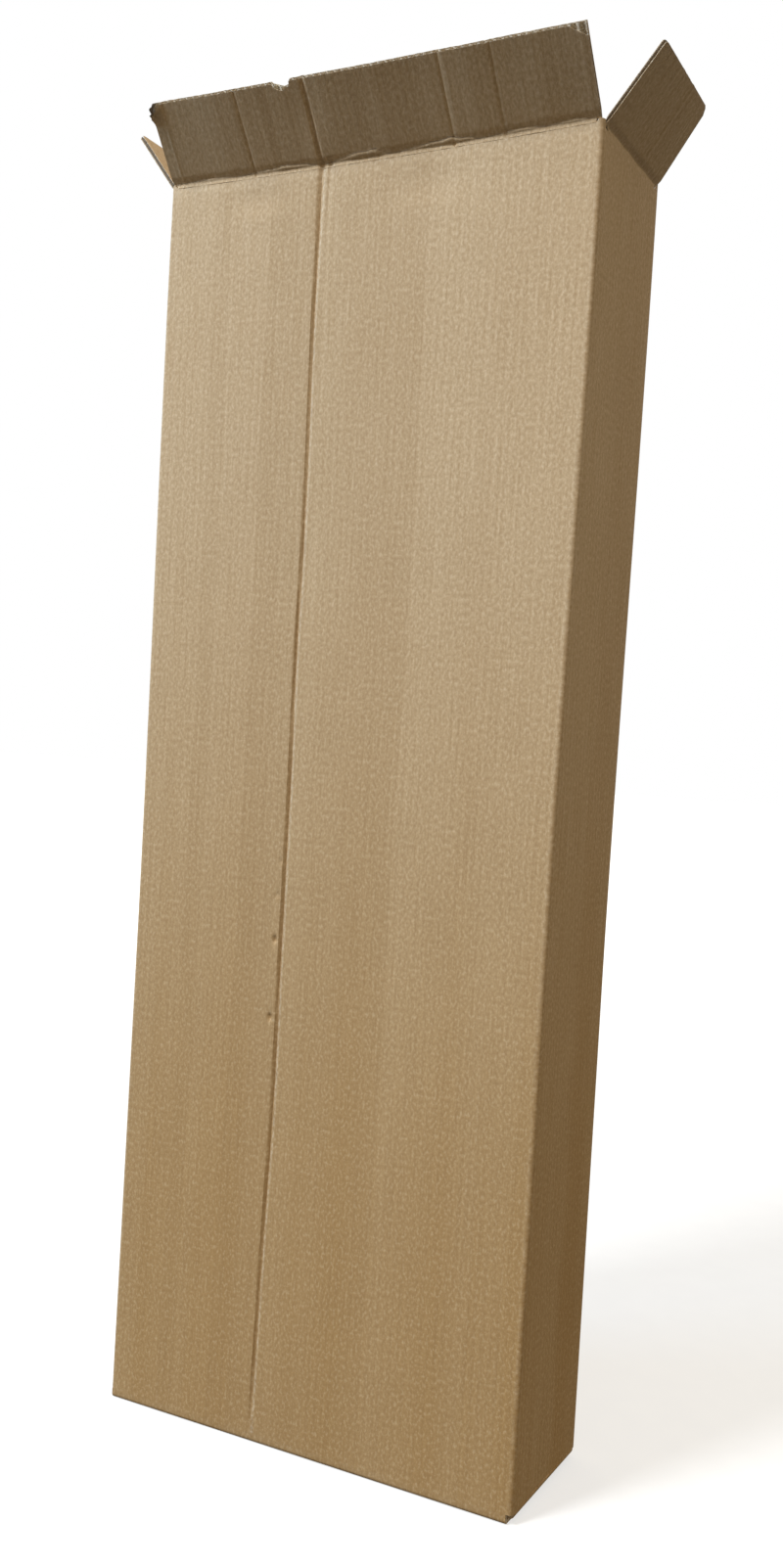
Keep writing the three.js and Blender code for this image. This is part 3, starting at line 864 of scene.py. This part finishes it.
def make_pieces():
    """All pieces of the carton: the walls and bottom flaps are put on the carton's body, and each piece
    hides the solid that it stands in for.
    """
    kraft = kraft_material()
    major_width = 2 * base_half_width - board - slot_width + 4.0
    minor_width = 2 * half_depth - board - slot_width
    left_width = minor_width - layer_step
    major_reach = major_hinge_distance - 1.0
    minor_reach = major_reach + layer_step
    bottom_reach = major_reach + 0.95
    bottoms = (
        ("front", major_width, -2.0, half_depth, 0.0, bottom_reach),
        ("back", major_width - 4.0, 0.0, half_depth, 0.0, bottom_reach),
        ("right", minor_width, 0.0, base_half_width, layer_step, minor_reach),
        ("left", left_width, layer_step / 2, base_half_width, layer_step, minor_reach),
    )
    fixed = [make_walls(kraft)]
    for name, width, shift, distance, lift, reach in bottoms:
        fixed.append(make_bottom_flap(name, width, shift, distance, lift, reach, kraft))
    for piece in fixed:
        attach(piece, "carton")
        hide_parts("carton_body")

    top_width = 2 * top_half_width - 5.0
    half = top_width / 2
    front_reach, right_reach = major_reach + 1.0, minor_reach + 1.5
    sunk_creases = tuple(place for place, depth in flap_creases if depth > 0)
    corner_spot = half - 9.0
    front_spots = (crease_x, notch_spot, -corner_spot, corner_spot) + sunk_creases
    flaps = {
        "front": (top_width, 0.0, front_reach, lambda x: wide_lean - lean_change * max(0.0, -x / half),
                  front_edges(half, front_reach), front_relief, front_spots),
        "back": (top_width, 0.0, major_reach, lambda x: wide_lean,
                 plain_edges(half, major_reach, 3.0, 1), back_relief, ()),
        "right": (minor_width, 0.0, right_reach, lambda x: right_lean - lean_change * x / 72.0,
                  plain_edges(minor_width / 2, right_reach, 5.0, 1), minor_relief, (ridge_x,)),
        "left": (left_width, layer_step / 2, minor_reach, lambda x: left_lean,
                 plain_edges(left_width / 2, minor_reach, 7.0, -1), minor_relief, ()),
    }
    for name, (width, shift, reach, lean_at, edges, relief, spots) in flaps.items():
        piece = make_flap(name, width, shift, reach, lean_at, edges, relief, spots, kraft)
        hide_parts(f"top_flap_{name}")
        lean = math.radians(lean_at(0.0))
        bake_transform(piece)


def seeing_rays(tree):
    """A value of 1 for the rays that see the white surround, and 0 for those that carry its light."""
    path = tree.nodes.new("ShaderNodeLightPath")
    seen = path.outputs["Is Camera Ray"]
    for kind in ("Is Glossy Ray", "Is Transmission Ray"):
        either = tree.nodes.new("ShaderNodeMath")
        either.operation = "MAXIMUM"
        tree.links.new(seen, either.inputs[0])
        tree.links.new(path.outputs[kind], either.inputs[1])
        seen = either.outputs[0]
    return seen


def make_stage():
    """A pale floor that takes the shadow and turns to plain white far from the part."""
    s = Shader("floor_surface")
    seen = seeing_rays(s.tree)
    place = s.add("ShaderNodeTexCoord").outputs["Object"]
    distance = s.add("ShaderNodeVectorMath", {0: place}, operation="LENGTH").outputs["Value"]
    grain = s.noise(place, 30.0)
    pale = s.mix(s.span(grain, 0.3, 0.7), (0.4, 0.4, 0.4, 1.0), (0.42, 0.42, 0.42, 1.0))
    dark = (0.045, 0.045, 0.045, 1.0)
    lit = s.add("ShaderNodeBsdfDiffuse", {"Color": s.mix(seen, dark, pale)})
    strength = s.math("MULTIPLY", seen, s.span(distance, 1.5, 4.5, 0.66, 1.0))
    glow = s.add("ShaderNodeEmission", {"Color": (1.0, 1.0, 1.0, 1.0), "Strength": strength})
    both = s.add("ShaderNodeAddShader", {0: lit.outputs[0], 1: glow.outputs[0]})
    s.add("ShaderNodeOutputMaterial", {0: both.outputs[0]})
    far = 30.0
    corners = [(-far, -far, 0), (far, -far, 0), (far, far, 0), (-far, far, 0)]
    mesh = bpy.data.meshes.new("floor")
    mesh.from_pydata(corners, [], [(0, 1, 2, 3)])
    mesh.materials.append(s.material)
    floor = bpy.data.objects.new("floor", mesh)
    bpy.context.collection.objects.link(floor)


def make_world():
    """A surround that is seen as white and lights the part with a softer, warmer tone."""
    world = bpy.data.worlds.new("surround")
    bpy.context.scene.world = world
    world.use_nodes = True
    tree = world.node_tree
    tree.nodes.clear()
    white = tree.nodes.new("ShaderNodeBackground")
    white.inputs["Color"].default_value = (1.0, 1.0, 1.0, 1.0)
    soft = tree.nodes.new("ShaderNodeBackground")
    soft.inputs["Color"].default_value = (1.0, 0.85, 0.61, 1.0)
    soft.inputs["Strength"].default_value = 0.58
    mixed = tree.nodes.new("ShaderNodeMixShader")
    output = tree.nodes.new("ShaderNodeOutputWorld")
    tree.links.new(seeing_rays(tree), mixed.inputs[0])
    tree.links.new(soft.outputs[0], mixed.inputs[1])
    tree.links.new(white.outputs[0], mixed.inputs[2])
    tree.links.new(mixed.outputs[0], output.inputs[0])


def make_lamp(name, place, target, size, power, tint):
    """A round lamp at one place, aimed at another."""
    data = bpy.data.lights.new(name, "AREA")
    data.shape = "DISK"
    data.size = size
    data.energy = power
    data.color = tint
    lamp = bpy.data.objects.new(name, data)
    bpy.context.collection.objects.link(lamp)
    lamp.location = place
    lamp.rotation_mode = "QUATERNION"
    lamp.rotation_quaternion = (Vector(place) - Vector(target)).to_track_quat("Z", "Y")


make_camera()
bpy.context.scene.view_settings.view_transform = "Standard"
make_stage()
make_world()
make_lamp("key", place=(-2.4, -4.9, 7.1), target=(0.0, 0.0, 0.8), size=1.8, power=630.0,
          tint=(0.88, 0.92, 0.97))
make_lamp("window", place=(-1.9, -1.3, 2.5), target=(0.0, 0.0, 1.0), size=0.9, power=40.0,
          tint=(0.36, 0.63, 1.0))
make_pieces()
